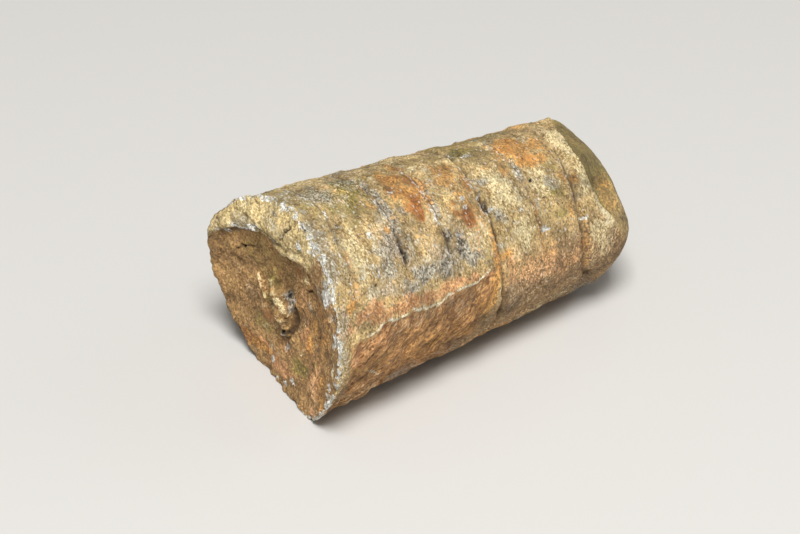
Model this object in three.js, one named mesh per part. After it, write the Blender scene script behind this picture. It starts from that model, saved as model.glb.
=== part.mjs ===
// Worn internal mould of a straight-shelled nautiloid: one stone, lying on its flattened underside.
// Millimetres, +Z up. The shell's axis runs along X, with the hollow wide end at -X and the domed
// narrow end at +X. Angles go round the axis in degrees: 0 is the front (-Y), 90 the top, 180 the
// back and -90 the underside.
import * as THREE from 'three';

// Driving dimensions
const wideRadius = 18;
const narrowRadius = 14.2;
const sideLength = 53.2; // along the axis, from the wide end to the edge of the dome
const tipReach = 65.2; // along the axis, from the wide end to the tip of the dome
const axisHeight = 17.06; // middle of the wide end above the surface it lies on
const axisDip = 0.039; // radians, the axis falls toward the narrow end
const wallLean = 0.176; // the chamber walls lean toward the narrow end at the top
const wallSkew = 0.028; // and a little at the back

// Chamber walls: where each one meets the outside, along the axis
const sutureStations = [4.2, 14.1, 23.0, 32.4, 41.1, 50.4];
const sutureWidth = 0.7;
const sutureDepth = 0.35;
const chamberSwell = 0.2;

// Wide end: a dish (one chamber wall seen from its hollow side) inside a broken margin
const dishDepth = 3.6;
const marginEdge = 0.04; // softness of the step from margin to dish, as a share of the radius
const boss = { y: 2.5, z: -3.0, halfWidth: 2.5, halfHeight: 4.6, rise: 1.4 };

// Front: a flake of the outer layer has come away
const flake = { from: 2.5, to: 31.5, bottom: -62, top: 14, depth: 0.35, soft: 1.2, softAngle: 4 };

// Mesh density
const columns = 72;
const faceRings = 15;
const domeRings = 9;

// Shapes that change around the axis: [angle, value] pairs, joined by a smooth closed curve
const girth = [ // share of the round radius
  [-150, 1.03], [-120, 1.05], [-90, 1.05], [-60, 1.04], [-35, 0.99], [0, 1.03],
  [30, 0.985], [60, 0.955], [90, 0.965], [120, 0.98], [150, 1.02], [180, 1.015],
];
const rimReach = [ // where the broken rim of the wide end stands along the axis
  [-180, -0.3], [-150, 1.3], [-116, 3.0], [-90, 2.0], [-60, 0.9], [-30, 0.0],
  [0, -0.5], [30, 0.6], [60, 1.8], [90, 2.4], [115, 2.2], [140, 0.8], [162, -1.4],
];
const marginInner = [ // inner edge of the margin, as a share of the rim radius
  [-180, 1.04], [-150, 1.06], [-110, 1.02], [-85, 0.93], [-55, 0.8], [-25, 0.7],
  [15, 0.66], [50, 0.66], [70, 0.64], [90, 0.55], [115, 0.64], [140, 0.77], [162, 0.94],
];
const marginDrop = [ // how far the margin falls toward its inner edge, or rises where negative
  [-150, 0], [-90, 0], [-60, 0.5], [-20, 1.7], [0, 2.0], [20, 1.5], [50, 0.2],
  [75, -0.9], [100, -1.2], [130, -0.6], [155, 0.2], [170, 0.1],
];
const crustSwell = [ // how far the margin bulges between rim and dish
  [-150, 0], [-60, 0.1], [0, 0.2], [45, 0.3], [90, 0.7], [130, 0.6], [165, 0.2],
];
const domeEdge = [ // where the side turns into the dome, along the axis
  [-135, 59.4], [-90, 59.4], [-45, 59.0], [0, 58.5], [15, 57.2], [30, 54.5],
  [45, 53.5], [75, 53.1], [100, 53.1], [125, 54.0], [150, 56.2], [180, 58.5],
];

const toRadians = THREE.MathUtils.degToRad;
const { clamp, smoothstep, lerp } = THREE.MathUtils;

function around(knots, angle) {
  const sorted = [...knots].sort((a, b) => a[0] - b[0]);
  const count = sorted.length;
  const at = (i) => {
    const turn = Math.floor(i / count);
    const [knotAngle, value] = sorted[i - turn * count];
    return [knotAngle + 360 * turn, value];
  };
  let index = 0;
  while (at(index + 1)[0] <= angle) index += 1;
  while (at(index)[0] > angle) index -= 1;
  const [a, b, c, d] = [-1, 0, 1, 2].map((step) => at(index + step));
  const t = (angle - b[0]) / (c[0] - b[0]);
  const linear = (c[1] - a[1]) * t;
  const square = (2 * a[1] - 5 * b[1] + 4 * c[1] - d[1]) * t ** 2;
  const cube = (3 * b[1] - a[1] - 3 * c[1] + d[1]) * t ** 3;
  return b[1] + (linear + square + cube) / 2;
}

const bell = (distance, width) => Math.exp(-((distance / width) ** 2));

function ramp(value, edge, soft) {
  return smoothstep(value, edge - soft, edge + soft);
}

// Chambers swell gently between narrow grooves where their walls meet the outside
function chamberRelief(station) {
  let relief = 0;
  for (const suture of sutureStations) relief -= sutureDepth * bell(station - suture, sutureWidth);
  const stations = [sutureStations[0] - 9.5, ...sutureStations, sutureStations.at(-1) + 9];
  for (let i = 1; i < stations.length; i += 1) {
    const t = (station - stations[i - 1]) / (stations[i] - stations[i - 1]);
    if (t > 0 && t < 1) relief += chamberSwell * Math.sin(Math.PI * t);
  }
  return relief;
}

function flakeRelief(station, angle) {
  const along = ramp(station, flake.from, flake.soft) * (1 - ramp(station, flake.to, flake.soft));
  const across = ramp(angle, flake.bottom, flake.softAngle)
    * (1 - ramp(angle, flake.top, flake.softAngle));
  return -flake.depth * along * across;
}

// A point on the side, in the shell's own axes: x along the axis, y to the back, z up
function sidePoint(station, angle) {
  const cos = Math.cos(toRadians(angle));
  const sin = Math.sin(toRadians(angle));
  let radius = lerp(wideRadius, narrowRadius, station / sideLength) * around(girth, angle);
  radius += chamberRelief(station) + flakeRelief(station, angle);
  const place = (r) => {
    const lean = wallLean * r * sin - wallSkew * r * cos;
    const rimShift = (around(rimReach, angle) - lean) * clamp(1 - station / 12, 0, 1);
    const edgeShift = (around(domeEdge, angle) - sideLength)
      * clamp((station - 51) / (sideLength - 51), 0, 1);
    return new THREE.Vector3(station + lean + rimShift + edgeShift, -r * cos, r * sin);
  };
  let point = place(radius);
  const floorDepth = (axisHeight - Math.sin(axisDip) * point.x) / Math.cos(axisDip);
  if (-point.z > floorDepth) point = place(floorDepth / -sin);
  return point;
}

// The wide end at a share of the way out from the axis to the rim
function facePoint(share, angle) {
  const rim = sidePoint(0, angle);
  const dish = dishDepth * (1 - share ** 2) + rim.x * share ** 3;
  const inner = around(marginInner, angle);
  const inward = clamp((1 - share) / Math.max(1 - inner, marginEdge), 0, 1);
  const swell = Math.max(around(crustSwell, angle), 0) * Math.sin(Math.PI * inward);
  const margin = rim.x + around(marginDrop, angle) * inward - swell;
  const y = rim.y * share;
  const z = rim.z * share;
  const fromBoss = Math.hypot((y - boss.y) / boss.halfWidth, (z - boss.z) / boss.halfHeight);
  const x = lerp(dish, margin, ramp(share, inner, marginEdge)) - boss.rise * bell(fromBoss, 1);
  return new THREE.Vector3(x, y, z);
}

// The narrow end: the hollow side's mirror, a dome, from its edge (0) to its tip (1)
function domePoint(share, angle) {
  const edge = sidePoint(sideLength, angle);
  const turn = (share * Math.PI) / 2;
  const tip = new THREE.Vector3(tipReach, 0, -1.5);
  return new THREE.Vector3(
    lerp(edge.x, tip.x, Math.sin(turn)),
    lerp(tip.y, edge.y, Math.cos(turn)),
    lerp(tip.z, edge.z, Math.cos(turn)),
  );
}

// Stations along the side: three across every groove and a few over each chamber between them
function sideStations() {
  const stations = [];
  let last = 0;
  for (const suture of sutureStations) {
    const gap = suture - sutureWidth - last;
    const steps = Math.max(Math.round(gap / 2.9), 2);
    for (let i = 0; i < steps; i += 1) stations.push(last + (gap * i) / steps);
    stations.push(suture - sutureWidth, suture);
    last = suture + sutureWidth;
  }
  stations.push(last, (last + sideLength) / 2, sideLength);
  return stations;
}

function fossilGeometry() {
  const rings = [];
  for (let i = 1; i < faceRings; i += 1) rings.push((angle) => facePoint(i / faceRings, angle));
  for (const station of sideStations()) rings.push((angle) => sidePoint(station, angle));
  for (let i = 1; i < domeRings; i += 1) rings.push((angle) => domePoint(i / domeRings, angle));

  const points = [facePoint(0, 0)];
  for (const ring of rings) {
    for (let j = 0; j < columns; j += 1) points.push(ring(-180 + (360 * j) / columns));
  }
  points.push(domePoint(1, 0));

  const index = [];
  const at = (ring, column) => 1 + ring * columns + (column % columns);
  const lastRing = rings.length - 1;
  for (let j = 0; j < columns; j += 1) {
    index.push(0, at(0, j), at(0, j + 1));
    for (let i = 0; i < lastRing; i += 1) {
      index.push(at(i, j), at(i + 1, j), at(i + 1, j + 1));
      index.push(at(i, j), at(i + 1, j + 1), at(i, j + 1));
    }
    index.push(at(lastRing, j), points.length - 1, at(lastRing, j + 1));
  }

  const geometry = new THREE.BufferGeometry();
  geometry.setFromPoints(points);
  geometry.setIndex(index);
  return geometry;
}

// Lay the fossil down: dip the axis, lift it onto its underside and centre it over the origin
function layDown(geometry) {
  geometry.rotateY(axisDip);
  geometry.translate(0, 0, axisHeight);
  const position = geometry.attributes.position;
  const touching = 0.06; // points this near the surface lie in the flat underside
  for (let i = 0; i < position.count; i += 1) {
    if (position.getZ(i) < touching) position.setZ(i, 0);
  }
  geometry.computeBoundingBox();
  const middle = geometry.boundingBox.getCenter(new THREE.Vector3());
  geometry.translate(-middle.x, -middle.y, 0);
  geometry.computeVertexNormals();
  return geometry;
}

const stone = new THREE.MeshStandardMaterial({ color: 0xb08d5c, roughness: 0.85, metalness: 0 });
const fossil = new THREE.Mesh(layDown(fossilGeometry()), stone);
fossil.name = 'orthocone_mould';

const part = new THREE.Group();
part.add(fossil);

export default part;
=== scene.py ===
import math

import bpy
import numpy as np
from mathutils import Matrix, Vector, noise


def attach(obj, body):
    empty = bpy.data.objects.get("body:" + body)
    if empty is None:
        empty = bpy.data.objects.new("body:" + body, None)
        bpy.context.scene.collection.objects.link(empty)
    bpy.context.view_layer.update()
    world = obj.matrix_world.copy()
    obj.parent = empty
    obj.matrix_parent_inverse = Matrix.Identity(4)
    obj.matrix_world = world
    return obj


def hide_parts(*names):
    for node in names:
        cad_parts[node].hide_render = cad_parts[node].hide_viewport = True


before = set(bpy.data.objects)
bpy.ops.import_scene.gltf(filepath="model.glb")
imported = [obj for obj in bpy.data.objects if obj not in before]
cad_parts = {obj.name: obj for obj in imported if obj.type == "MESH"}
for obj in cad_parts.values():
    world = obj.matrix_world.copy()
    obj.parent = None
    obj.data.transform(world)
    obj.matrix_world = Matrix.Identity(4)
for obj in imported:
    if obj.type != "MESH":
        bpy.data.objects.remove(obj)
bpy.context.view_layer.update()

mm = 0.001

# Angles run round the shell in degrees: 0 front, 90 top, 180 back, -90 underside.
# Stations run along it in mm from the wide end.

mould = {
    "wideRadius": 18.0, "narrowRadius": 14.2, "sideLength": 53.2, "tipReach": 65.2,
    "axisHeight": 17.06, "axisDip": 0.039, "wallLean": 0.176, "wallSkew": 0.028, "tipDrop": -1.5,
    "rimReachEnds": 12, "domeEdgeStarts": 51,
    "columns": 296, "faceRows": 78, "sideRows": 214, "domeRows": 44,
    "girth": [(-150, 1.03), (-120, 1.05), (-90, 1.05), (-60, 1.04), (-35, 0.99), (0, 1.03),
              (30, 0.985), (60, 0.955), (90, 0.965), (120, 0.98), (150, 1.02), (180, 1.015)],
    "rimReach": [(-180, -0.3), (-150, 1.3), (-116, 3.0), (-90, 2.0), (-60, 0.9), (-30, 0.0),
                 (0, -0.5), (30, 0.6), (60, 1.8), (90, 2.4), (115, 2.2), (140, 0.8), (162, -1.4)],
    "domeEdge": [(-135, 59.4), (-90, 59.4), (-45, 59.0), (0, 58.5), (15, 57.2), (30, 54.5),
                 (45, 53.5), (75, 53.1), (98, 54.0), (112, 55.6), (128, 55.6), (150, 56.4), (180, 58.5)],
}


def around(knots, degrees):  # a smooth closed curve through (angle, value) pairs
    knots = np.array(sorted(knots), float)
    angles = np.concatenate((knots[:, 0] - 360, knots[:, 0], knots[:, 0] + 360))
    values = np.tile(knots[:, 1], 3)
    turned = (degrees + 180) % 360 - 180
    i = np.searchsorted(angles, turned, side="right") - 1
    t = (turned - angles[i]) / (angles[i + 1] - angles[i])
    a, b, c, d = values[i - 1], values[i], values[i + 1], values[i + 2]
    cubic = (c - a) * t + (2 * a - 5 * b + 4 * c - d) * t**2 + (3 * b - a - 3 * c + d) * t**3
    return b + cubic / 2


def bell(distance, width):
    return np.exp(-((distance / width) ** 2))


def ramp(value, low, high):
    t = np.clip((value - low) / (high - low), 0, 1)
    return t * t * (3 - 2 * t)


def lumps(points, size, octaves, seed, stretch=(1, 1, 1)):  # fractal noise of that size in mm
    shift = np.array((seed * 7.3 + 0.37, seed * 3.1 - 0.61, seed * 5.9 + 0.23))
    scaled = points / size / np.array(stretch) + shift
    return np.array([noise.fractal(Vector(p), 0.9, 2.1, octaves) for p in scaled])


noises = {  # strength, size in mm, octaves, seed, and stretch where it has one
    "grooveStray": (0.22, 2.2, 3, 1), "grooveRagged": (0.6, 1.6, 3, 2),
    "faceRagged": (0.35, 1.2, 3, 21), "crustLumps": (0.3, 3.0, 3, 22), "dishLumps": (0.3, 3.6, 3, 65),
    "bendX": (1.1, 2.2, 2, 61), "bendY": (1.1, 2.2, 2, 62), "bendZ": (1.1, 2.2, 2, 63),
    "crackPatches": (1, 3.0, 2, 64), "bevelUneven": (0.4, 3.0, 3, 57),
    "broad": (0.27, 4.8, 3, 51), "middling": (0.21, 1.7, 4, 52, (0.75, 1, 1)),
    "small": (0.1, 0.8, 2, 53, (0.8, 1, 1)), "pitPatches": (1, 4, 2, 54), "rimBroken": (0.28, 1.8, 4, 56),
    "flakeGrain": (0.26, 1.1, 4, 55, (3.5, 1.5, 1)), "flakeSlabs": (0.5, 2.8, 2, 58, (3, 1.5, 1)),
    "ragged": (0.5, 2.6, 5, 31), "torn": (0.95, 2.0, 5, 32, (1, 1.5, 1.5)),
    "rustDrift": (1, 8, 4, 41), "slateDrift": (1, 7, 4, 42), "mossDrift": (1, 10, 4, 43),
    "creamAndHighlightDrift": (1, 8, 4, 44), "salmonDrift": (1, 9, 4, 45),
    "crystalClusters": (1.4, 1.5, 3, 47), "crystalGrains": (1, 0.8, 3, 48),
    "paleLineGaps": (1.1, 1.6, 3, 46), "ridgeHighlightGaps": (1.3, 0.9, 3, 73),
    "flecks": (1, 0.75, 3, 49, (1, 1.5, 1.5)),
    "streaks": (0.34, 2.6, 4, 71, (1, 2.2, 2.2)), "broadShade": (0.3, 7.0, 3, 72),
}

reaches = {  # angles where a thing fades in, then where it fades out
    "seen": (-50, -25, 108, 128), "crust": (45, 65, 150, 172), "crustColour": (50, 64, 158, 176),
    "browShadow": (20, 50, 150, 165), "mossyBack": (100, 122, 140, 165), "domeCrest": (5, 20, 85, 105),
    "bevel": (4, 24, 98, 118), "domeRidge": (12, 25, 50, 62), "recess": (19, 26, 44, 54),
    "recessWall": (16, 26, 46, 56),
}


def uneven(points, name):
    strength, *shape = noises[name]
    return strength * lumps(points, *shape)


def within(angle, name):
    inLow, inHigh, outLow, outHigh = reaches[name]
    return ramp(angle, inLow, inHigh) * (1 - ramp(angle, outLow, outHigh))


def cells(points, size, seed):  # distance to the nearest middle and to the edge between cells
    shift = np.array((seed * 2.7, seed * 4.3 + 0.5, -seed * 3.9))
    found = [noise.voronoi(Vector(p))[0] for p in points / size + shift]
    near, second = np.array([f[:2] for f in found]).T
    return near, second - near


def fromLine(stations, angles, line, radius):  # mm from a drawn line
    best = np.full(stations.shape, 1e9)
    scale = math.radians(1) * radius
    for (s0, a0), (s1, a1) in zip(line, line[1:]):
        dx, dy = s1 - s0, (a1 - a0) * scale
        px, py = stations - s0, (angles - a0) * scale
        t = np.clip((px * dx + py * dy) / (dx * dx + dy * dy), 0, 1)
        best = np.minimum(best, np.hypot(px - t * dx, py - t * dy))
    return best


def sideSurface(station, angle, relief=0.0):  # x along the shell, y back, z up, in mm
    cos, sin = np.cos(np.radians(angle)), np.sin(np.radians(angle))
    narrowing = (mould["narrowRadius"] - mould["wideRadius"]) / mould["sideLength"]
    radius = (mould["wideRadius"] + narrowing * station) * around(mould["girth"], angle) + relief
    rimReach = around(mould["rimReach"], angle)
    edgeShift = around(mould["domeEdge"], angle) - mould["sideLength"]
    lastWall = mould["domeEdgeStarts"]

    def place(r):
        lean = mould["wallLean"] * r * sin - mould["wallSkew"] * r * cos
        rimShift = (rimReach - lean) * np.clip(1 - station / mould["rimReachEnds"], 0, 1)
        stretch = edgeShift * np.clip((station - lastWall) / (mould["sideLength"] - lastWall), 0, 1)
        return station + lean + rimShift + stretch

    x = place(radius)
    floorDepth = (mould["axisHeight"] - math.sin(mould["axisDip"]) * x) / math.cos(mould["axisDip"])
    under = -radius * sin > floorDepth
    radius = np.where(under, floorDepth / np.where(under, -sin, 1), radius)
    return np.stack((place(radius), -radius * cos, radius * sin), -1)


wideEnd = {
    "dishDepth": 3.6, "marginEdge": 0.025,
    "boss": (2.1, -2.0), "bossHalf": (1.45, 4.3), "bossLean": 27, "bossRise": 2.0,
    "marginInner": [(-180, 1.04), (-150, 1.06), (-110, 1.02), (-85, 0.93), (-55, 0.8), (-25, 0.7),
                    (15, 0.66), (50, 0.66), (70, 0.64), (90, 0.55), (115, 0.64), (140, 0.77), (162, 0.94)],
    "marginDrop": [(-150, 0), (-90, 0), (-60, 0.5), (-20, 1.7), (0, 2.0), (20, 1.5), (50, 0.2),
                   (75, -0.9), (100, -1.2), (130, -0.6), (155, 0.2), (170, 0.1)],
    "crustSwell": [(-150, 0), (-60, 0.1), (0, 0.2), (45, 0.3), (90, 0.7), (130, 0.6), (165, 0.2)],
}


def faceSurface(share, angle):
    rim = sideSurface(np.zeros_like(angle), angle)
    dish = wideEnd["dishDepth"] * (1 - share**2) + rim[..., 0] * share**3
    inner = around(wideEnd["marginInner"], angle)
    soft = wideEnd["marginEdge"]
    inward = np.clip((1 - share) / np.maximum(1 - inner, soft), 0, 1)
    swell = np.maximum(around(wideEnd["crustSwell"], angle), 0) * np.sin(np.pi * inward)
    margin = rim[..., 0] + around(wideEnd["marginDrop"], angle) * inward - swell
    y, z = rim[..., 1] * share, rim[..., 2] * share
    lean = math.radians(wideEnd["bossLean"])
    fromY, fromZ = y - wideEnd["boss"][0], z - wideEnd["boss"][1]
    fromBoss = np.hypot((fromY * math.cos(lean) - fromZ * math.sin(lean)) / wideEnd["bossHalf"][0],
                        (fromY * math.sin(lean) + fromZ * math.cos(lean)) / wideEnd["bossHalf"][1])
    blend = ramp(share, inner - soft, inner + soft)
    x = dish + (margin - dish) * blend - wideEnd["bossRise"] * bell(fromBoss, 1)
    return np.stack((x, y, z), -1)


def domeSurface(share, angle):
    edge = sideSurface(np.full_like(angle, mould["sideLength"]), angle)
    turn = share * np.pi / 2
    x = edge[..., 0] + (mould["tipReach"] - edge[..., 0]) * np.sin(turn)
    y = edge[..., 1] * np.cos(turn)
    z = mould["tipDrop"] + (edge[..., 2] - mould["tipDrop"]) * np.cos(turn)
    return np.stack((x, y, z), -1)


# Each chamber wall meets the side in a line: its course round the shell, how deep and wide the
# groove is, a lip that stands up beside it, the dark seam in it and the pale crystals along it.
sutures = [
    {"course": [(-140, 4.2), (-40, 4.2), (25, 4.2), (55, 4.0), (70, 4.3), (95, 4.45), (140, 4.3)],
     "depth": [(-140, 0.3), (-50, 0.3), (10, 0.12), (60, 0.16), (95, 0.24), (150, 0.3)],
     "seam": [(-60, 0.4), (20, 0.3), (60, 0.45), (95, 0.6)],
     "flecks": [(20, 0.1), (45, 0.5), (100, 0.4)],
     "width": 0.45, "lip": 0.16, "lipAt": -0.7},
    {"course": [(-140, 14.2), (-40, 14.6), (25, 14.4), (42, 14.35), (60, 14.05), (95, 14.0), (140, 14.2)],
     "depth": [(-140, 0.35), (-50, 0.3), (10, 0.12), (40, 0.26), (70, 0.3), (95, 0.4), (150, 0.35)],
     "seam": [(-60, 0.4), (20, 0.15), (36, 0.55), (55, 0.7), (80, 0.5), (100, 0.7)],
     "flecks": [(30, 0.1), (45, 0.7), (60, 1), (90, 0.9), (115, 0.3)],
     "width": 0.42, "lip": 0.16, "lipAt": 0.8},
    {"course": [(-140, 23.0), (-40, 23.6), (25, 23.1), (50, 22.5), (80, 22.8), (110, 22.9), (150, 23.0)],
     "depth": [(-140, 0.35), (-50, 0.3), (5, 0.1), (40, 0.32), (70, 0.34), (95, 0.4), (150, 0.35)],
     "seam": [(-60, 0.4), (12, 0.1), (28, 0.7), (45, 0.9), (70, 0.6), (100, 0.6)],
     "flecks": [(20, 0.2), (35, 0.9), (60, 1), (90, 1), (115, 0.4)],
     "width": 0.42, "lip": 0.24, "lipAt": -0.6},
    {"course": [(-140, 33.0), (-60, 36.0), (-22, 35.0), (-12, 34.2), (5, 33.2), (25, 32.5), (38, 32.3),
                (57, 31.9), (90, 32.1), (140, 32.6)],
     "depth": [(-140, 0.35), (-30, 0.35), (5, 0.4), (30, 0.5), (50, 0.55), (75, 0.42), (95, 0.4),
               (150, 0.4)],
     "seam": [(-60, 0.5), (0, 0.7), (25, 0.9), (58, 1), (75, 0.7), (100, 0.7)],
     "flecks": [(35, 0.1), (52, 0.8), (68, 0.9), (100, 0.4)],
     "width": 0.38, "lip": 0.2, "lipAt": 0.65},
    {"course": [(-140, 41.2), (-40, 42.3), (15, 41.7), (30, 41.5), (50, 41.2), (70, 41.0), (90, 40.8),
                (140, 41.0)],
     "depth": [(-140, 0.35), (-40, 0.2), (5, 0.12), (35, 0.28), (70, 0.34), (95, 0.4), (150, 0.4)],
     "seam": [(-60, 0.3), (10, 0.1), (35, 0.45), (70, 0.5), (100, 0.6)],
     "flecks": [(25, 0.2), (50, 0.6), (70, 0.9), (100, 0.7)],
     "width": 0.4, "lip": 0.26, "lipAt": -0.55},
    {"course": [(-140, 50.6), (-60, 53.0), (-22, 52.0), (-12, 51.2), (0, 50.8), (20, 50.05), (55, 50.0),
                (85, 50.3), (140, 50.4)],
     "depth": [(-140, 0.3), (-30, 0.3), (0, 0.34), (25, 0.5), (55, 0.4), (80, 0.2), (110, 0.2),
               (150, 0.3)],
     "seam": [(-60, 0.4), (-10, 0.5), (20, 0.8), (60, 0.75), (85, 0.3)],
     "flecks": [(20, 0.2), (60, 0.3)],
     "width": 0.4, "lip": 0.34, "lipAt": 0.8},
]

gashRadius = 17.0  # mm from the axis, where angles along a gash turn into lengths

# Narrow gashes: (station, angle) along each one, then half its width and its depth in mm.
gashes = [
    ([(31.9, 58), (32.1, 50), (32.3, 38), (32.4, 29)], 0.26, 1.3),
    ([(32.4, 30), (32.5, 25), (32.9, 15), (33.2, 5), (33.5, -2), (34.2, -12), (35.3, -26)], 0.2, 0.4),
    ([(14.1, 50), (14.35, 44), (14.4, 38)], 0.22, 0.5),
    ([(22.9, 45), (23.15, 42)], 0.3, 0.5),
    ([(23.2, 30), (23.2, 26)], 0.24, 0.45),
    ([(49.95, 56), (49.9, 40), (50.0, 22), (50.8, 0), (51.2, -12), (52.0, -24)], 0.24, 0.34),
    ([(33.0, 70), (34.8, 66)], 0.16, 0.2),
    ([(31.8, 104), (32.1, 92), (32.0, 76)], 0.22, 0.35),
    ([(14.0, 100), (13.95, 84)], 0.22, 0.25),
    ([(41.0, 92), (41.1, 76)], 0.2, 0.2),
]

sideBumps = [  # (station, angle, half length in mm, half width in degrees, rise in mm)
    (5.2, -4.5, 1.1, 4.5, 0.45), (29.6, 1, 0.8, 7, 0.35), (8.0, 16.5, 1.2, 3, 0.35),
    (10.5, 25, 2.2, 5, 0.15), (25.5, -8, 2.6, 5, 0.35), (22.5, 4, 1.4, 7, 0.25), (13.5, -14, 3.0, 5, 0.3),
    (20.2, 92, 1.6, 3, 0.25), (38, 78, 1.0, 5, 0.2), (47.5, 56, 2.6, 9, -0.25), (28.0, 60, 1.5, 6, 0.15),
    (43.6, 36, 2.4, 12, 0.15),
]

flake = {  # where the outer layer has broken away from the front
    "edge": [(2.2, 10.3), (5, 9), (7, 10.5), (8.7, 14), (10.5, 12.5), (12, 12), (14.5, 13), (17, 11.3),
             (19.5, 10.2), (21, 12.5), (22.2, 14), (24, 13.5), (27, 13), (28.5, 14.8), (30.5, 18.5)],
    "from": 2.2, "to": 31.5, "bottom": -62, "depth": 0.24, "rise": 40.0, "radius": 17.4,
    "lineHalf": 0.2, "lipHalf": 0.34, "lipRise": 0.07, "grainStretch": (0.65, 0.9, 1.3),
    "vein": [(6.5, -14), (8.5, -18), (9.8, -21)], "veinHalf": 0.16,
}

chambers = {  # how far each one swells between its walls, in mm, and the first and last one's length
    "swell": 0.22, "lopsided": 0.1, "first": 9.5, "last": 9.0, "lipWidth": 0.55,
}


def flakeMask(station, angle, ragged):
    edgeAngle = np.interp(station, [k for k, _ in flake["edge"]], [a for _, a in flake["edge"]])
    below = 0.45 * ramp(edgeAngle - angle, -0.2, 0.9) + 0.55 * ramp(edgeAngle - angle, 0, 6)
    along = ramp(station + ragged, flake["from"] - 0.6, flake["from"] + 1.6)
    along = along * (1 - ramp(station + 2 * ragged - 0.06 * angle, flake["to"] - 2.2, flake["to"] + 0.8))
    return below * along * ramp(angle + 8 * ragged, flake["bottom"] - 8, flake["bottom"] + 10)


def sutureWander(points):  # how far a groove strays from its course
    return uneven(points, "grooveStray")


def sideRelief(station, angle, points):
    wander = sutureWander(points)
    ragged = 1 + uneven(points, "grooveRagged")
    relief = np.zeros_like(station)
    courses = [around(s["course"], angle) for s in sutures]
    walls = [courses[0] - chambers["first"]] + courses + [courses[-1] + chambers["last"]]
    for here, there in zip(walls, walls[1:]):
        t = np.clip((station - here) / (there - here), 0, 1)
        lopsided = chambers["lopsided"] * np.sin(2 * np.pi * t) * ramp(angle, 40, 100)
        relief += chambers["swell"] * np.sin(np.pi * t) + lopsided
    for suture, course in zip(sutures, courses):
        off = station - course + wander
        relief -= np.maximum(around(suture["depth"], angle), 0) * ragged * bell(off, suture["width"])
        relief += suture["lip"] * ragged * bell(off - suture["lipAt"], chambers["lipWidth"])
    for middle, high, halfLong, halfWide, rise in sideBumps:
        relief += rise * bell(np.hypot((station - middle) / halfLong, (angle - high) / halfWide), 1)
    for line, half, depth in gashes:
        gap = fromLine(station, wrapped(angle), line, gashRadius)
        relief -= depth * (1 - ramp(gap + 0.12 * wander, 0.35 * half, 1.5 * half))
    return relief


def wrapped(degrees):
    return (degrees + 180) % 360 - 180


def spacedStations(count):  # rows crowd together at the chamber walls
    fine = np.linspace(0, mould["sideLength"], 4000)
    crowd = 1 + sum(1.1 * bell(fine - np.mean([k for _, k in s["course"]]), 1.0) for s in sutures)
    crowd += 1.5 * bell(fine, 0.8)
    reach = np.concatenate(([0], np.cumsum(crowd[:-1])))
    return np.interp(np.linspace(0, reach[-1], count), reach, fine)


def shellGrid():  # one row of points after another: wide end from its middle, side, then dome
    columns = mould["columns"]
    shares = (np.arange(1, mould["faceRows"]) / mould["faceRows"]) ** 0.85
    stations = spacedStations(mould["sideRows"])
    domeShares = np.arange(1, mould["domeRows"]) / mould["domeRows"]
    rowPlace = np.concatenate((shares, stations, domeShares))
    rowZone = np.repeat([0, 1, 2], [len(shares), len(stations), len(domeShares)])
    columnAngle = -90 + 360 * np.arange(columns) / columns
    grid = {
        "place": np.concatenate(([0], np.repeat(rowPlace, columns), [1])),
        "zone": np.concatenate(([0], np.repeat(rowZone, columns), [2])),
        "angle": wrapped(np.concatenate(([0], np.tile(columnAngle, len(rowPlace)), [0]))),
        "rowPlace": rowPlace, "rowZone": rowZone,
    }
    return grid


def basePoints(grid, relief):
    place, zone, angle = grid["place"], grid["zone"], grid["angle"]
    points = np.zeros((len(place), 3))
    face, side, dome = zone == 0, zone == 1, zone == 2
    points[face] = faceSurface(place[face], angle[face])
    points[side] = sideSurface(place[side], angle[side], relief[side])
    points[dome] = domeSurface(place[dome], angle[dome])
    return points


def shellFaces(rows):
    columns = mould["columns"]
    j = np.arange(columns)
    after = (j + 1) % columns
    tip = 1 + rows * columns
    first = np.stack((np.zeros_like(j), 1 + j, 1 + after), -1)
    row = 1 + np.arange(rows - 1)[:, None] * columns
    quads = np.stack((row + j, row + columns + j, row + columns + after, row + after), -1).reshape(-1, 4)
    lastRow = 1 + (rows - 1) * columns
    last = np.stack((lastRow + j, np.full_like(j, tip), lastRow + after), -1)
    return first.tolist() + quads.tolist() + last.tolist()


def layDown(points):  # dip the axis, lift it off the floor plane, keep the underside flat
    c, s = math.cos(mould["axisDip"]), math.sin(mould["axisDip"])
    x, y, z = points.T
    return np.stack((c * x + s * z, y, np.maximum(-s * x + c * z + mould["axisHeight"], 0)), -1)


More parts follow.
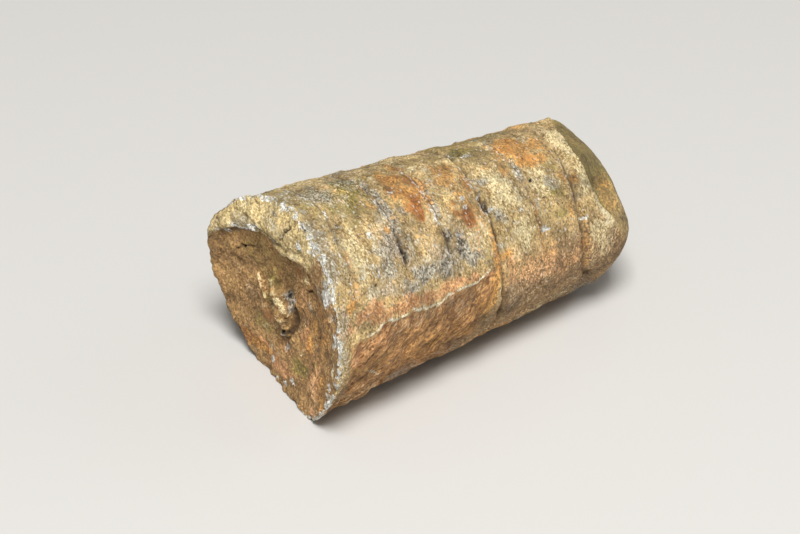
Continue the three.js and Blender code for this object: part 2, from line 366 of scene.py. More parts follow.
# Stains on the side: (station, angle, half length in mm, half width in degrees, strength)
sideStains = {
    "rust": [
        (20.2, 90, 3.0, 6, 0.9), (20.3, 71, 2.3, 14, 0.85), (16.6, 81, 1.2, 7, 0.55),
        (21.5, 101, 2, 5, 0.6),
        (26.2, 62, 1.3, 7, 0.6), (29, 42, 0.6, 5, 0.5), (28, 82, 2.8, 10, 0.55),
        (30.9, 75, 1, 9, 0.65), (38.4, 73, 1.2, 6, 0.5), (42.8, 95, 2.6, 9, 1), (43.6, 75, 2.3, 6, 0.85),
        (46.8, 74, 1.5, 6, 0.6), (47.6, 88, 1.5, 5, 0.5), (35.8, 78, 0.9, 3, 0.4),
        (31.6, 20, 0.8, 20, 0.7),
        (33.9, 22.5, 1.1, 2, 0.6), (41.3, 32, 0.45, 20, 0.6), (50.9, 0, 0.4, 22, 0.45),
        (50.8, 52, 0.8, 6, 0.6),
        (3.1, 27, 1, 4, 0.8), (12.9, 59, 0.5, 2, 0.7), (12.2, 76, 0.9, 4, 0.4), (48.2, 33, 0.9, 6, 0.45),
        (48.9, 57, 0.9, 5, 0.45), (28.9, -3, 1.5, 6, 0.6), (31, -4, 1, 8, 0.6), (19, -12, 5, 6, 0.4),
        (19.5, 82, 4.2, 20, 0.6),
        (28.5, 64, 2.6, 24, 0.45), (43.5, 86, 4.0, 13, 0.6), (4.5, 38, 1.0, 14, 0.4),
    ],
    "salmon": [
        (6, 20, 3.2, 4, 0.9), (3.9, 2, 1.5, 6, 1), (4.7, -7, 0.8, 2, 1), (10, 17, 4, 3.5, 0.5),
        (4.4, -19, 1.2, 3, 0.5), (22.5, 17, 3, 3, 0.5), (14, 17, 5, 3.5, 0.45), (8, 4, 4, 7, 0.4),
        (44, 3, 8, 12, 0.35), (38, 8, 5, 8, 0.35),
        (17, 16.5, 15, 4, 0.7),
    ],
    "umber": [
        (19.9, 67, 1.5, 9, 0.7), (26.6, 61, 0.9, 5.5, 0.75), (28, 51, 0.9, 7, 0.8),
        (21.0, 84, 1.2, 5, 0.6),
        (43.0, 90, 1.6, 5, 0.25), (30.8, 72, 0.7, 8, 0.5), (44.4, 78, 1.0, 5, 0.25),
        (4.6, -7.5, 0.35, 1.6, 0.8),
        (17, 84, 0.7, 5, 0.5), (8.2, 11.5, 0.8, 0.8, 0.8),
    ],
    "slate": [
        (10.5, 40, 2.5, 9, 0.6), (11.6, 48, 3, 9, 0.7), (7.2, 42, 1.8, 3, 0.4), (6, 92, 1.8, 7, 0.6),
        (7.6, 84, 1.5, 3, 0.4),
        (14.6, 76, 0.7, 22, 0.75), (16.9, 66, 1.3, 5, 0.7), (16.8, 28, 3.2, 7, 0.8),
        (18.8, 30, 1, 3, 0.8),
        (21.2, 30, 1.1, 7, 0.8), (22.9, 70, 0.8, 17, 0.75), (23.6, 44, 0.9, 5, 0.9), (25.2, 36, 2, 7, 1),
        (27, 27, 1.6, 5, 0.7), (25.5, 90, 2, 6, 0.35), (25, 80, 1, 6, 0.4), (33.8, 45, 1.6, 5, 0.7),
        (33.5, 68, 1.4, 4, 0.6), (37.9, 44, 1, 3, 0.4), (41, 70, 0.8, 14, 0.85), (42, 46, 0.9, 8, 0.5),
        (46.2, 56, 1.4, 7, 0.5), (10.3, 28, 1.8, 3, 0.5), (5.2, 38, 1.2, 2, 0.5), (6, 31, 1.5, 3, 0.4),
        (4.9, 70, 0.8, 2.5, 0.6), (9.3, 58, 0.7, 2, 0.6), (1, 20, 1.5, 8, 0.5), (1.2, 64, 1, 8, 0.4),
        (0.8, 5, 1, 8, 0.45), (33, 28, 1.2, 3, 0.5), (48, 16, 0.7, 3, 0.35), (54.5, 77, 1, 5, 0.4),
        (13.5, 50, 4.5, 22, 0.4), (20, 32, 8, 9, 0.42), (1.2, 62, 1.6, 34, 0.5), (26, 44, 4, 24, 0.35),
        (6, 97, 6, 14, 0.4),
    ],
    "moss": [
        (10.5, 93, 3.6, 9, 0.9), (5, 100, 3.5, 6, 0.5), (12.5, 85, 2, 6, 0.5), (16.5, 101, 2.5, 5, 0.6),
        (35, 100, 3.2, 7, 0.7), (45.6, 47, 1.8, 5, 0.6), (46, 33, 2, 4, 0.45), (47.5, 66, 1.8, 6, 0.5),
        (30, 102, 3, 6, 0.35), (26, 105, 4, 6, 0.3),
        (10.5, 92, 4.5, 14, 1), (8, 84, 6, 18, 0.5), (3, 95, 4, 20, 0.5), (38, 96, 7, 12, 0.35),
    ],
    "creamAndHighlight": [
        (36, 62, 2.8, 12, 0.7), (38.6, 29.5, 1.1, 2, 1), (24, 96, 1, 2.4, 1), (52, 82, 1.2, 18, 0.7),
        (44, 52, 1.8, 7, 0.5), (42.5, 54, 1, 5, 0.6), (4.8, 55, 1.8, 8, 0.55), (5, 35, 0.8, 6, 0.45),
        (4.2, 45, 0.6, 22, 0.5), (40.2, 100, 0.9, 8, 0.6), (26.8, 68, 1.5, 8, 0.4),
        (27.5, 40, 1, 5, 0.45),
        (22.3, 52, 0.35, 18, 0.6), (16, 47, 0.3, 4.5, 0.9), (52.2, 50, 0.9, 12, 0.5), (35, 45, 2, 6, 0.4),
        (31.3, 96, 0.7, 4, 0.6), (52.0, 10, 0.9, 16, 0.5),
        (5.5, 48, 2.6, 18, 0.6), (36, 60, 3.2, 20, 0.55), (29, 40, 1.6, 12, 0.5),
        (44.5, 60, 2.5, 10, 0.5), (37, 30, 2.5, 12, 0.5),
    ],
    "chalk": [
        (8.4, 36.2, 0.38, 1.3, 1), (28.4, 62.5, 0.55, 1.8, 0.9), (28, 57, 0.45, 1.2, 0.8),
        (31.8, 55, 0.4, 1.6, 1), (32.8, 50, 0.45, 1.1, 1), (38.4, 44, 0.5, 1.4, 0.8),
        (53.8, 64, 0.45, 1.6, 0.9),
        (50.8, 25.3, 0.5, 1, 0.9), (42.2, 28, 0.5, 1.6, 0.9), (17, 80.5, 0.5, 0.8, 0.7),
        (16, 50, 0.25, 1.5, 0.8),
        (4.6, 80, 0.25, 3, 0.8), (25, 42, 0.4, 0.7, 0.8), (16.2, 52, 0.3, 1, 0.6), (9.3, 59, 0.3, 1, 0.5),
        (43.1, 27, 0.5, 0.9, 0.6), (46.5, 23, 0.35, 0.7, 0.7), (10.3, 32, 0.4, 0.5, 0.6),
        (12.5, 33.5, 0.3, 0.4, 0.6), (35, 93.2, 1.5, 0.8, 0.8),
    ],
    "pit": [
        (14.3, 43, 0.12, 3, 0.8), (22.7, 45, 0.2, 2.6, 0.9), (23.2, 28, 0.2, 1.5, 0.9),
        (7.9, 32.5, 0.25, 0.7, 0.8), (4.9, 38, 0.25, 0.8, 0.8), (42.5, 60.5, 0.3, 1, 0.8),
        (43.3, 46, 0.5, 0.6, 0.7),
    ],
}

# The same on the wide end: (y, z, half width, half height, strength), in mm
faceStains = {
    "rust": [
        (3.2, -5.6, 1.6, 0.9, 0.8), (9.5, -13.2, 4.5, 1.2, 1), (-8.5, 2.5, 1.5, 2, 0.5),
        (-12, 1.5, 3, 3, 0.45), (-10, -1, 3, 2, 0.4), (12, -13, 3, 1.4, 0.6), (3.8, 0.0, 0.5, 0.8, 0.6),
        (-5.9, -4.2, 1.4, 2.6, 0.7), (-7.0, -1.0, 1.0, 2.6, 0.5), (-12.5, -9.0, 1.5, 5.0, 0.5),
        (-9.5, 4.0, 1.5, 1.5, 0.6),
    ],
    "salmon": [
        (-4.5, -4.5, 2.2, 3.0, 0.6), (-3.0, 1.0, 2.0, 4.0, 0.35), (-7, -7, 2.4, 2, 0.45),
        (1, -9.5, 2.4, 1.2, 0.45),
        (9.8, -12.8, 4.5, 1.5, 1), (2.6, -13.6, 4.0, 1.6, 0.9), (-9.5, -10.5, 3, 4, 0.7),
    ],
    "umber": [(-8.9, -1.0, 0.5, 3.0, 0.5), (6.5, -6.0, 2.5, 1.2, 0.4), (-2.2, 6.8, 2.2, 0.8, 0.5)],
    "slate": [
        (0.9, 0.6, 0.7, 0.9, 1), (0.2, -0.9, 0.5, 1.0, 0.8), (2.0, -7.0, 0.6, 0.7, 1),
        (3, 14.2, 4.5, 1.2, 0.35),
        (9.5, 10.6, 3.0, 1.2, 0.4), (-10.5, 8.5, 1.5, 1.5, 0.35), (4.6, -11.5, 2.2, 1.2, 0.3),
        (11.6, -11.7, 1.1, 0.5, 1), (-14.8, -8.3, 0.7, 0.8, 1),
        (-5.6, 2.2, 0.8, 1.2, 0.6), (2, 15.6, 1.2, 0.4, 0.7), (6.8, 11.4, 1.2, 0.6, 0.6),
        (-15, 6.5, 1.5, 0.6, 0.6),
    ],
    "moss": [
        (-3, -10.5, 2.4, 1.8, 0.55), (8, 5, 5, 3.5, 0.3), (-8, -7, 1.5, 1, 0.5), (3, 5.5, 4, 2.5, 0.2),
        (5.2, -1.5, 1.6, 4.0, 0.5), (-5.2, 6.4, 1.0, 1.5, 0.6), (7.6, -8.0, 3.0, 1.6, 0.4),
    ],
    "creamAndHighlight": [
        (2.4, -4.6, 1.4, 0.6, 0.5), (-5.4, 7.2, 0.9, 0.8, 0.7), (-3.6, 11.6, 1.1, 0.9, 1),
        (-1.8, 10.2, 1.1, 0.8, 1), (0.2, 8.8, 1.1, 0.7, 1), (-9.5, -11.0, 2.5, 3, 0.65),
        (-16.2, -3, 0.7, 2, 0.8),
        (-12, 11.5, 1.5, 1, 0.5),
    ],
    "chalk": [
        (-8.5, 14.2, 1.6, 0.7, 0.9), (-13, 9.5, 1.0, 1.5, 0.9), (-12.0, 10.8, 0.7, 0.6, 0.8),
        (-16.6, 3.2, 0.8, 1.2, 0.9),
        (-15.6, 1.6, 0.8, 0.6, 0.8), (0.2, 9.2, 0.5, 0.3, 0.7),
        (-16.1, -3.6, 0.4, 1.6, 0.9), (-15.0, -6.2, 0.5, 1.4, 0.8), (-4.6, 13.6, 0.8, 0.7, 1),
        (0, -15.5, 0.7, 0.5, 1),
        (2.5, -16, 0.7, 0.4, 0.9), (4.4, -13.7, 0.5, 0.6, 0.8), (-2, -14, 0.5, 0.6, 0.7),
        (1, -9.4, 0.6, 0.8, 0.6),
        (3.4, 10.1, 1.4, 0.3, 0.9), (8.1, 10.7, 0.7, 0.4, 1), (11.2, 8.9, 1.4, 0.4, 0.8),
        (14.6, 6.6, 0.9, 0.5, 1),
        (6.3, 11.7, 0.6, 0.4, 0.8), (1.6, 9.6, 0.6, 0.3, 0.6),
    ],
    "pit": [
        (11.5, 4.8, 0.45, 0.3, 1), (-11.7, 7.2, 0.4, 0.4, 0.8), (1, 0.5, 0.3, 0.4, 0.7),
        (-8.4, -2.1, 0.4, 0.2, 0.8),
        (-8.3, -4.3, 0.4, 0.2, 0.8), (-7.8, -6.3, 0.4, 0.25, 0.7), (2.2, -7, 0.3, 0.3, 0.8),
        (-9.8, 6.2, 0.3, 0.5, 0.6),
    ],
}

faceShape = {  # what stands up from the dish or is sunk into it, in mm
    "bumps": [  # (y, z, half width, half height, rise)
        (-3.0, 11.0, 1.8, 0.9, 0.5), (0.2, 8.9, 1.3, 0.7, 0.4), (-5.8, 2.6, 0.9, 1.4, 0.35),
        (2.4, -7.6, 0.7, 0.7, 0.3),
        (3.6, 9.9, 1.5, 0.6, 0.35), (8.0, 10.8, 1.0, 0.6, 0.35), (12.0, 8.4, 1.8, 0.6, 0.3),
        (-9.2, 5.8, 1.0, 1.2, 0.3),
        (2.4, 13.6, 2.4, 1.4, 0.4), (-2.6, 14.6, 0.8, 1.2, 0.3), (8.4, 12.6, 2.0, 1.2, 0.3),
        (-5.0, 6.6, 1.2, 1.8, 0.6), (-10.0, -9.0, 2.5, 4.0, 0.5), (9.0, -11.0, 5.0, 1.6, 0.45),
    ],
    "hollows": [
        (11.5, 4.8, 0.5, 0.35, 0.7), (-11.7, 7.0, 0.5, 0.4, 0.4), (1.0, 8.0, 1.6, 0.7, 0.35),
        (1.9, 10.9, 1.9, 0.5, 0.7),
        (6.0, 10.9, 1.3, 0.5, 0.4), (0.9, 0.7, 0.5, 0.6, 0.45), (2.0, -6.9, 0.4, 0.5, 0.5),
        (6.0, -3.5, 1.2, 2.6, 0.3),
        (-3.4, -10.6, 2.4, 1.8, 0.35), (9.0, 2.0, 2.5, 2.0, 0.25),
    ],
    "ridges": [  # lines of (y, z), half width, rise
        ([(4.5, 1.7), (3.6, 0.6), (2.5, -0.5), (1.2, -1.5), (0.4, -2.6)], 0.34, 0.6),
        ([(3.1, -2.1), (2.3, -2.7), (1.4, -3.0)], 0.2, 0.26),
        ([(2.3, -3.1), (1.3, -3.9), (0.4, -3.6)], 0.24, 0.34),
        ([(2.8, -4.2), (1.5, -4.9), (0.7, -5.0)], 0.26, 0.3),
        ([(3.2, -5.3), (2.2, -6.0), (1.5, -5.7)], 0.26, 0.28),
        ([(8.5, 0.6), (7.8, -1.2), (6.9, -3.0)], 0.3, 0.6),
        ([(5.4, -0.5), (4.6, -2.5), (4.0, -4.6)], 0.22, 0.2),
        ([(6.4, 0.8), (5.7, -1.4), (5.3, -3.4)], 0.2, 0.16),
        ([(-6.4, -2.0), (-5.4, -5.0), (-3.4, -8.0)], 0.4, 0.3),
    ],
    "gashes": [  # lines of (y, z), half width, depth
        ([(-1.8, 15.2), (-0.9, 13.9), (-0.3, 12.3)], 0.2, 0.9),
        ([(-2.8, 17.0), (-2.4, 16.2)], 0.2, 0.5),
        ([(-6.3, 5.8), (-5.4, 5.0), (-4.3, 4.6)], 0.2, 0.55),
        ([(9.5, 5.5), (11.4, 4.9), (13.0, 3.5)], 0.14, 0.3),
        # The next two run round the boss; the soil laid in them also paints the shade beside it.
        ([(-0.5, -1.4), (-0.9, -3.0), (-1.0, -4.4), (-0.4, -5.8), (0.8, -6.1)], 0.5, 0.6),
        ([(-0.3, -6.7), (0.9, -7.6), (2.4, -8.2)], 0.28, 0.35),
        ([(-9.9, 6.6), (-9.5, 5.9)], 0.2, 0.35),
        ([(-5.6, 4.6), (-6.5, 2.5), (-7.8, 0.3), (-8.3, -2.3), (-9.2, -4.6), (-9.0, -7.0)], 0.26, 0.25),
        ([(5.6, 12.6), (5.0, 11.4), (3.6, 10.9)], 0.16, 0.4),
        ([(-4.4, 10.2), (-3.6, 9.4)], 0.16, 0.4),
    ],
}

crustShape = {"rise": 0.25, "crackDepth": 0.45, "crackSpacing": 3.4, "crackWidth": 0.07}
flat = 1 / math.radians(1)  # the radius at which a degree is as long as a millimetre

crystalRim = [  # how wide the white crystals lie along the rim, in mm, by angle
    (-75, 0.1), (-60, 0.4), (-20, 0.45), (0, 0.5), (10, 0.5), (20, 0.35), (32, 0.5), (42, 0.5), (50, 0.45),
    (58, 0.75), (70, 0.55), (85, 0.6), (98, 0.75), (110, 0.5), (125, 0.3), (150, 0.05), (180, 0),
]


def spotMask(spots, across, up, ragged, turns=False):
    mask = np.zeros_like(across)
    for middle, high, halfAcross, halfUp, strength in spots:
        rise = wrapped(up - high) if turns else up - high
        far = np.hypot((across - middle) / halfAcross, rise / halfUp) + ragged
        mask = np.maximum(mask, strength * (1 - ramp(far, 0.35, 1.5)))
    return mask


def lineMask(line, across, up, half, radius, ragged):
    gap = fromLine(across, up, line, radius)
    return 1 - ramp(gap + 0.15 * ragged, 0.4 * half, 1.4 * half)


def faceRelief(y, z, points, share, angle):  # toward -X
    relief = np.zeros_like(y)
    ragged = uneven(points, "faceRagged")
    for side, shapes in ((1, faceShape["bumps"]), (-1, faceShape["hollows"])):
        for y0, z0, halfY, halfZ, rise in shapes:
            relief += side * rise * bell(np.hypot((y - y0) / halfY, (z - z0) / halfZ) + ragged, 0.9)
    for line, half, depth in faceShape["gashes"]:
        relief -= depth * lineMask(line, y, z, half, flat, ragged)
    for line, half, rise in faceShape["ridges"]:
        relief += rise * lineMask(line, y, z, 1.2 * half, flat, ragged)
    inner = around(wideEnd["marginInner"], angle)
    crust = ramp(share, inner - 0.02, inner + 0.05) * within(angle, "crust")
    bent = points + np.stack([uneven(points, name) for name in ("bendX", "bendY", "bendZ")], -1)
    edge = cells(bent, crustShape["crackSpacing"], 5)[1]
    cracks = bell(edge, crustShape["crackWidth"]) * ramp(uneven(points, "crackPatches"), -0.1, 0.35)
    cracks = crustShape["crackDepth"] * cracks
    relief += crust * (crustShape["rise"] - cracks + uneven(points, "crustLumps"))
    return relief + (1 - crust) * uneven(points, "dishLumps")


paint = {  # how strongly the stains, the painted shade and the painted highlights are laid where the shape calls for them
    "faceDrift": 0.12, "seenDrift": 0.14, "unseenDrift": 0.26,
    "rimCrust": 0.6, "grooveChalk": 0.62, "grooveSlate": 0.8,
    "browShadow": 0.55, "vein": 0.8, "deepestSoil": 0.9,
    "lowShadeBeyondFlake": 0.5, "lowShadeDome": 0.25, "reliefShade": 0.75, "faceStreaks": 0.7,
    "domeMoss": 0.45, "backMoss": 0.5, "crestHighlight": 0.75,
    "recessMoss": 0.7, "recessShadow": 0.5, "domeRust": 0.5, "wallRust": 0.35,
    "sparkle": 0.06, "topSparkle": 0.5, "endSparkle": 0.05, "crustSparkle": 0.4,
}


def paintMasks(grid, points, relief):
    place, zone, angle = grid["place"], grid["zone"], grid["angle"]
    where = {
        "place": place, "angle": angle, "y": points[:, 1], "z": points[:, 2], "points": points,
        "onFace": zone == 0, "onSide": zone == 1, "onDome": zone == 2,
        "ragged": uneven(points, "ragged"), "unseen": 1 - within(angle, "seen"),
        "inner": around(wideEnd["marginInner"], angle),
    }
    masks = layStains(where)
    layCrust(masks, where)
    layPaleLine(masks, where)
    layGrooves(masks, where)
    layFaceLines(masks, where)
    layShade(masks, where, relief)
    layDome(masks, where)
    return masks


def lay(masks, name, more):
    masks[name] = np.maximum(masks[name], more)


def layStains(where):
    place, angle, points = where["place"], where["angle"], where["points"]
    onFace, onSide = where["onFace"], where["onSide"]
    torn = uneven(points, "torn")
    spread = paint["seenDrift"] + paint["unseenDrift"] * where["unseen"]
    spread = np.where(onFace, paint["faceDrift"], spread)
    masks = {}
    for name, spots in sideStains.items():
        mask = np.zeros_like(place)
        mask[onSide] = spotMask(spots, place[onSide], angle[onSide], torn[onSide], turns=True)
        mask[onFace] = spotMask(faceStains[name], where["y"][onFace], where["z"][onFace], torn[onFace])
        if name + "Drift" in noises:
            mask = np.maximum(mask, spread * ramp(uneven(points, name + "Drift"), 0.12, 0.5))
        masks[name] = mask
    return masks


def layCrust(masks, where):  # the crust, the dish inside it and the white crystals on the rim
    place, angle, points, inner = where["place"], where["angle"], where["points"], where["inner"]
    onFace, onSide, ragged = where["onFace"], where["onSide"], where["ragged"]
    crust = ramp(place, inner - 0.02, inner + 0.03) * within(angle, "crustColour")
    masks["crust"] = np.where(onFace, crust, 0)
    masks["dish"] = np.where(onFace, 1 - crust, 0)
    masks["flake"] = np.where(onSide, flakeMask(place, angle, ragged), 0)

    rimRadius = np.hypot(where["y"], where["z"])
    fromRim = np.where(onFace, (1 - place) * rimRadius / np.maximum(place, 0.05), 99)
    fromRim = np.where(onSide, place, fromRim)
    crystal = np.maximum(around(crystalRim, angle), 0) * (0.95 + uneven(points, "crystalClusters"))
    crystal = np.maximum(crystal, 0)
    rimChalk = 1 - ramp(fromRim + 0.4 * ragged, 0.35 * crystal, 1.1 * crystal + 0.02)
    rimChalk = rimChalk * ramp(uneven(points, "crystalGrains"), -0.4, 0.05)
    lay(masks, "chalk", rimChalk * (crystal > 0.05))
    besideRim = np.where(onSide, paint["rimCrust"] * bell(place, 1.0) * (crystal > 0.05), 0)
    lay(masks, "crust", besideRim)


def layPaleLine(masks, where):  # the pale edge of the broken flake
    place, angle, ragged = where["place"], where["angle"], where["ragged"]
    line = lineMask(flake["edge"], place, angle, flake["lineHalf"], flake["radius"], 1.2 * ragged)
    line = line * ramp(place, 5.0, 6.5) * (0.8 + uneven(where["points"], "paleLineGaps"))
    vein = lineMask(flake["vein"], place, angle, flake["veinHalf"], flake["radius"], ragged)
    masks["paleLine"] = np.where(where["onSide"], np.clip(np.maximum(line, paint["vein"] * vein), 0, 1), 0)


def layGrooves(masks, where):  # soil in the grooves and gashes, crystals and slate beside them
    place, angle, onSide, ragged = where["place"], where["angle"], where["onSide"], where["ragged"]
    soilAndShadow = np.zeros_like(place)
    wander = sutureWander(where["points"])
    flecked = ramp(uneven(where["points"], "flecks"), -0.1, 0.22)
    for suture in sutures:
        off = place - around(suture["course"], angle) + wander
        seam = np.interp(angle, *zip(*suture["seam"]))
        soilAndShadow = np.maximum(soilAndShadow, seam * bell(off - 0.1 * ragged, 0.2) * (0.8 + 0.5 * ragged))
        flecks = np.interp(angle, *zip(*suture["flecks"])) * onSide * flecked
        lay(masks, "chalk", paint["grooveChalk"] * flecks * bell(off + 0.45, 0.42))
        lay(masks, "slate", paint["grooveSlate"] * flecks * bell(off, 0.9))
    for line, half, depth in gashes:
        mark = lineMask(line, place, angle, 1.2 * half, gashRadius, ragged)
        soilAndShadow = np.maximum(soilAndShadow, min(1.2 * depth, 1) * mark)
    masks["soilAndShadow"] = np.where(onSide, soilAndShadow, 0)


def layFaceLines(masks, where):  # soil in the cracks and painted shade in the groove beside the boss, painted shadow under the crust's edge, painted cream highlights along the ridges
    place, angle, inner = where["place"], where["angle"], where["inner"]
    y, z, onFace, ragged = where["y"], where["z"], where["onFace"], where["ragged"]
    soilAndShadow = masks["soilAndShadow"]
    for line, half, depth in faceShape["gashes"]:
        mark = min(depth, paint["deepestSoil"]) * lineMask(line, y, z, half, flat, ragged)
        soilAndShadow = np.where(onFace, np.maximum(soilAndShadow, mark), soilAndShadow)
    # painted highlight: cream along the lit ridges of the boss, broken into gaps by noise
    highlightGaps = np.clip(0.85 + uneven(where["points"], "ridgeHighlightGaps"), 0.2, 1)
    for line, half, rise in faceShape["ridges"]:
        lit = min(1.7 * rise, 1) * highlightGaps * lineMask(line, y, z, half, flat, 2 * ragged)
        masks["creamAndHighlight"] = np.where(onFace, np.maximum(masks["creamAndHighlight"], lit), masks["creamAndHighlight"])
    # painted shadow: a dark band on the dish just under the crust's overhanging edge, laid into the soil
    # mask
    browShadow = ramp(place, inner - 0.09, inner - 0.02) * (1 - ramp(place, inner - 0.02, inner + 0.03))
    browShadow = paint["browShadow"] * browShadow * within(angle, "browShadow")
    soilAndShadow = np.where(onFace, np.maximum(soilAndShadow, browShadow), soilAndShadow)
    masks["soilAndShadow"] = np.clip(soilAndShadow, 0, 1)


def layShade(masks, where, relief):  # pale specks and painted glints on top, painted shade low down, painted shade in the hollows and painted light on raised parts
    place, angle, points = where["place"], where["angle"], where["points"]
    onFace, onSide, onDome = where["onFace"], where["onSide"], where["onDome"]
    # pale crystal specks, which also stand in for painted glints; most of them lie on the upper side
    bright = ramp(angle, 12, 30) * (1 - 0.7 * ramp(place, 47, 53)) * (1 - 0.5 * ramp(angle, 95, 120))
    sparkle = paint["sparkle"] + paint["topSparkle"] * np.maximum(bright, 0.5 * where["unseen"])
    ends = paint["endSparkle"] + paint["crustSparkle"] * np.where(onFace, masks["crust"], 0)
    masks["sparkle"] = np.where(onSide, sparkle, ends)
    # painted shade: the low stain darkens the parts that face the floor, more so on the dome and on the
    # front beyond the flake
    toFloor = -np.sin(np.radians(angle)) + paint["lowShadeDome"] * onDome
    toFloor = toFloor + paint["lowShadeBeyondFlake"] * ramp(place, 32.5, 34.5) * onSide
    masks["low"] = np.where(onFace, 0, ramp(toFloor, -0.25, 0.75))
    streaks = uneven(points, "streaks") + uneven(points, "broadShade")
    streaks = streaks * np.where(onFace, paint["faceStreaks"], 1)
    # painted shade and light: darker where the relief is low, lighter where it is high, times random broad
    # tone streaks
    masks["shadeAndTone"] = 1 + paint["reliefShade"] * np.clip(relief, -0.35, 0.35) + streaks


def layDome(masks, where):  # moss over the dome's top and the back, a painted cream highlight on its edge, the recess with a painted shadow
    place, angle, points = where["place"], where["angle"], where["points"]
    onSide, onDome = where["onSide"], where["onDome"]
    domeMoss = paint["domeMoss"] * ramp(where["z"], -2, 9) * onDome
    backMoss = paint["backMoss"] * within(angle, "mossyBack") * onSide
    backMoss = backMoss * ramp(uneven(points, "mossDrift"), -0.5, 0.2)
    masks["moss"] = np.maximum.reduce((masks["moss"], domeMoss, backMoss))
    # painted highlight: cream along the crest where the side turns into the dome
    fromEdge = np.where(onSide, place - mould["sideLength"], place * 22) + 0.6 * where["ragged"]
    crestHighlight = paint["crestHighlight"] * bell(fromEdge, 0.5) * within(angle, "domeCrest") * (onSide | onDome)
    lay(masks, "creamAndHighlight", crestHighlight)
    recess = domeRecess(place, angle) * onDome
    wall = bell(place - 0.25, 0.06) * within(angle, "recessWall") * onDome
    rust = np.maximum(paint["domeRust"] * masks["rust"], paint["wallRust"] * wall)
    masks["rust"] = np.where(onDome, rust, masks["rust"])
    lay(masks, "moss", paint["recessMoss"] * recess * (1 - wall))
    # painted shadow: a dark band inside the recess next to the crest
    lay(masks, "soilAndShadow", paint["recessShadow"] * recess * bell(place - 0.08, 0.05))


domeShape = {"bevel": 0.75, "ridge": 0.55, "recess": 1.3}  # mm


def domeRecess(share, angle):
    return ramp(share, 0.03, 0.09) * (1 - ramp(share, 0.2, 0.27)) * within(angle, "recess")


def domeRelief(share, angle, points):
    bevel = np.minimum(share / 0.075, 1) * (1 - ramp(share, 0.12, 0.6)) * within(angle, "bevel")
    bevel = domeShape["bevel"] * bevel * (1 + uneven(points, "bevelUneven"))
    ridge = domeShape["ridge"] * bell(share - 0.33, 0.045) * within(angle, "domeRidge")
    return ridge - bevel - domeShape["recess"] * domeRecess(share, angle)


wear = {  # mm, over the whole stone
    "pitDepth": 0.12, "pitSpacing": 1.5, "pitWidth": 0.25, "domeShare": 0.4,
    "cornerAngle": 112.0, "cornerRise": 0.45, "cornerSize": 2.6,
    "crystalSpacing": 0.9, "crystalRise": 0.45, "crystalGap": 0.7, "rimBreadth": 1.1,
}


def surfaceRelief(grid, points):  # along the surface's own normal, in mm
    place, zone, angle = grid["place"], grid["zone"], grid["angle"]
    onFace, onSide, onDome = zone == 0, zone == 1, zone == 2
    ragged = uneven(points, "ragged")
    relief = sum(uneven(points, name) for name in ("broad", "middling", "small"))
    pits = bell(cells(points, wear["pitSpacing"], 6)[0], wear["pitWidth"])
    relief -= wear["pitDepth"] * pits * ramp(uneven(points, "pitPatches"), -0.1, 0.25)
    relief = np.where(onDome, wear["domeShare"] * relief, relief)

    broken = np.where(onSide, flakeMask(place, angle, ragged), 0)
    cos, sin = math.cos(math.radians(flake["rise"])), math.sin(math.radians(flake["rise"]))
    x, y, z = points.T
    tilted = np.stack((x * cos + z * sin, y, z * cos - x * sin), -1)
    slabs = uneven(tilted, "flakeGrain") + uneven(tilted, "flakeSlabs")
    relief -= broken * (flake["depth"] - slabs)
    lip = lineMask(flake["edge"], place, angle, flake["lipHalf"], flake["radius"], 2 * ragged)
    relief += np.where(onSide, flake["lipRise"] * lip * ramp(place, 4, 8), 0)

    relief[onFace] += faceRelief(y[onFace], z[onFace], points[onFace], place[onFace], angle[onFace])
    relief[onDome] += domeRelief(place[onDome], angle[onDome], points[onDome])

    corner = sideSurface(np.array([mould["sideLength"]]), np.array([wear["cornerAngle"]]))[0]
    relief += wear["cornerRise"] * bell(np.linalg.norm(points - corner, axis=1), wear["cornerSize"])

    crystal = np.maximum(around(crystalRim, angle), 0)
    fromRim = np.where(onFace, (1 - place) * mould["wideRadius"], 99)
    fromRim = np.where(onSide, place, fromRim)
    knobs = wear["crystalRise"] - wear["crystalGap"] * cells(points, wear["crystalSpacing"], 7)[0]
    relief += bell(fromRim, 0.4 + crystal) * np.minimum(crystal, 0.6) * knobs
    relief += bell(fromRim, wear["rimBreadth"]) * uneven(points, "rimBroken")
    return relief


sheet = {  # where the unrolled side and the two discs lie on the flat map
    "sideFrom": 0.01, "sideHeight": 0.56,
    "wideDisc": ((0.2, 0.79), 0.19), "domeDisc": ((0.62, 0.79), 0.16),
}


def flatUvs(grid, rows):  # side unrolled along the bottom, the two ends as discs above it
    columns = mould["columns"]
    turn = np.arange(columns + 1) / columns
    rowPlace, rowZone = grid["rowPlace"], grid["rowZone"]
    angles = np.radians(-90 + 360 * turn)

    def spot(zone, place):
        if zone == 1:
            high = sheet["sideFrom"] + sheet["sideHeight"] * place / mould["sideLength"]
            return np.stack((turn, np.full_like(turn, high)), -1)
        middle, size = sheet["wideDisc"] if zone == 0 else sheet["domeDisc"]
        reach = size * (place if zone == 0 else 1 - place)
        return np.stack((middle[0] - reach * np.cos(angles), middle[1] + reach * np.sin(angles)), -1)

    uvs = []
    pairs = [(0, 0, 0, rowPlace[0])]
    for i in range(rows - 1):
        zone = max(rowZone[i], rowZone[i + 1]) if rowZone[i] > 0 else 0
        here = 0.0 if zone == 2 and rowZone[i] == 1 else rowPlace[i]
        there = 1.0 if zone == 0 and rowZone[i + 1] == 1 else rowPlace[i + 1]
        pairs.append((i + 1, zone, here, there))
    pairs.append((rows, 2, rowPlace[-1], 1.0))
    for i, zone, here, there in pairs:
        a, b = spot(zone, here), spot(zone, there)
        if i == 0:
            corners = np.stack((a[:-1], b[:-1], b[1:]), 1)
        elif i == rows:
            corners = np.stack((a[:-1], b[:-1], a[1:]), 1)
        else:
            corners = np.stack((a[:-1], b[:-1], b[1:], a[1:]), 1)
        uvs.append(corners.reshape(-1, 2))
    return np.concatenate(uvs)


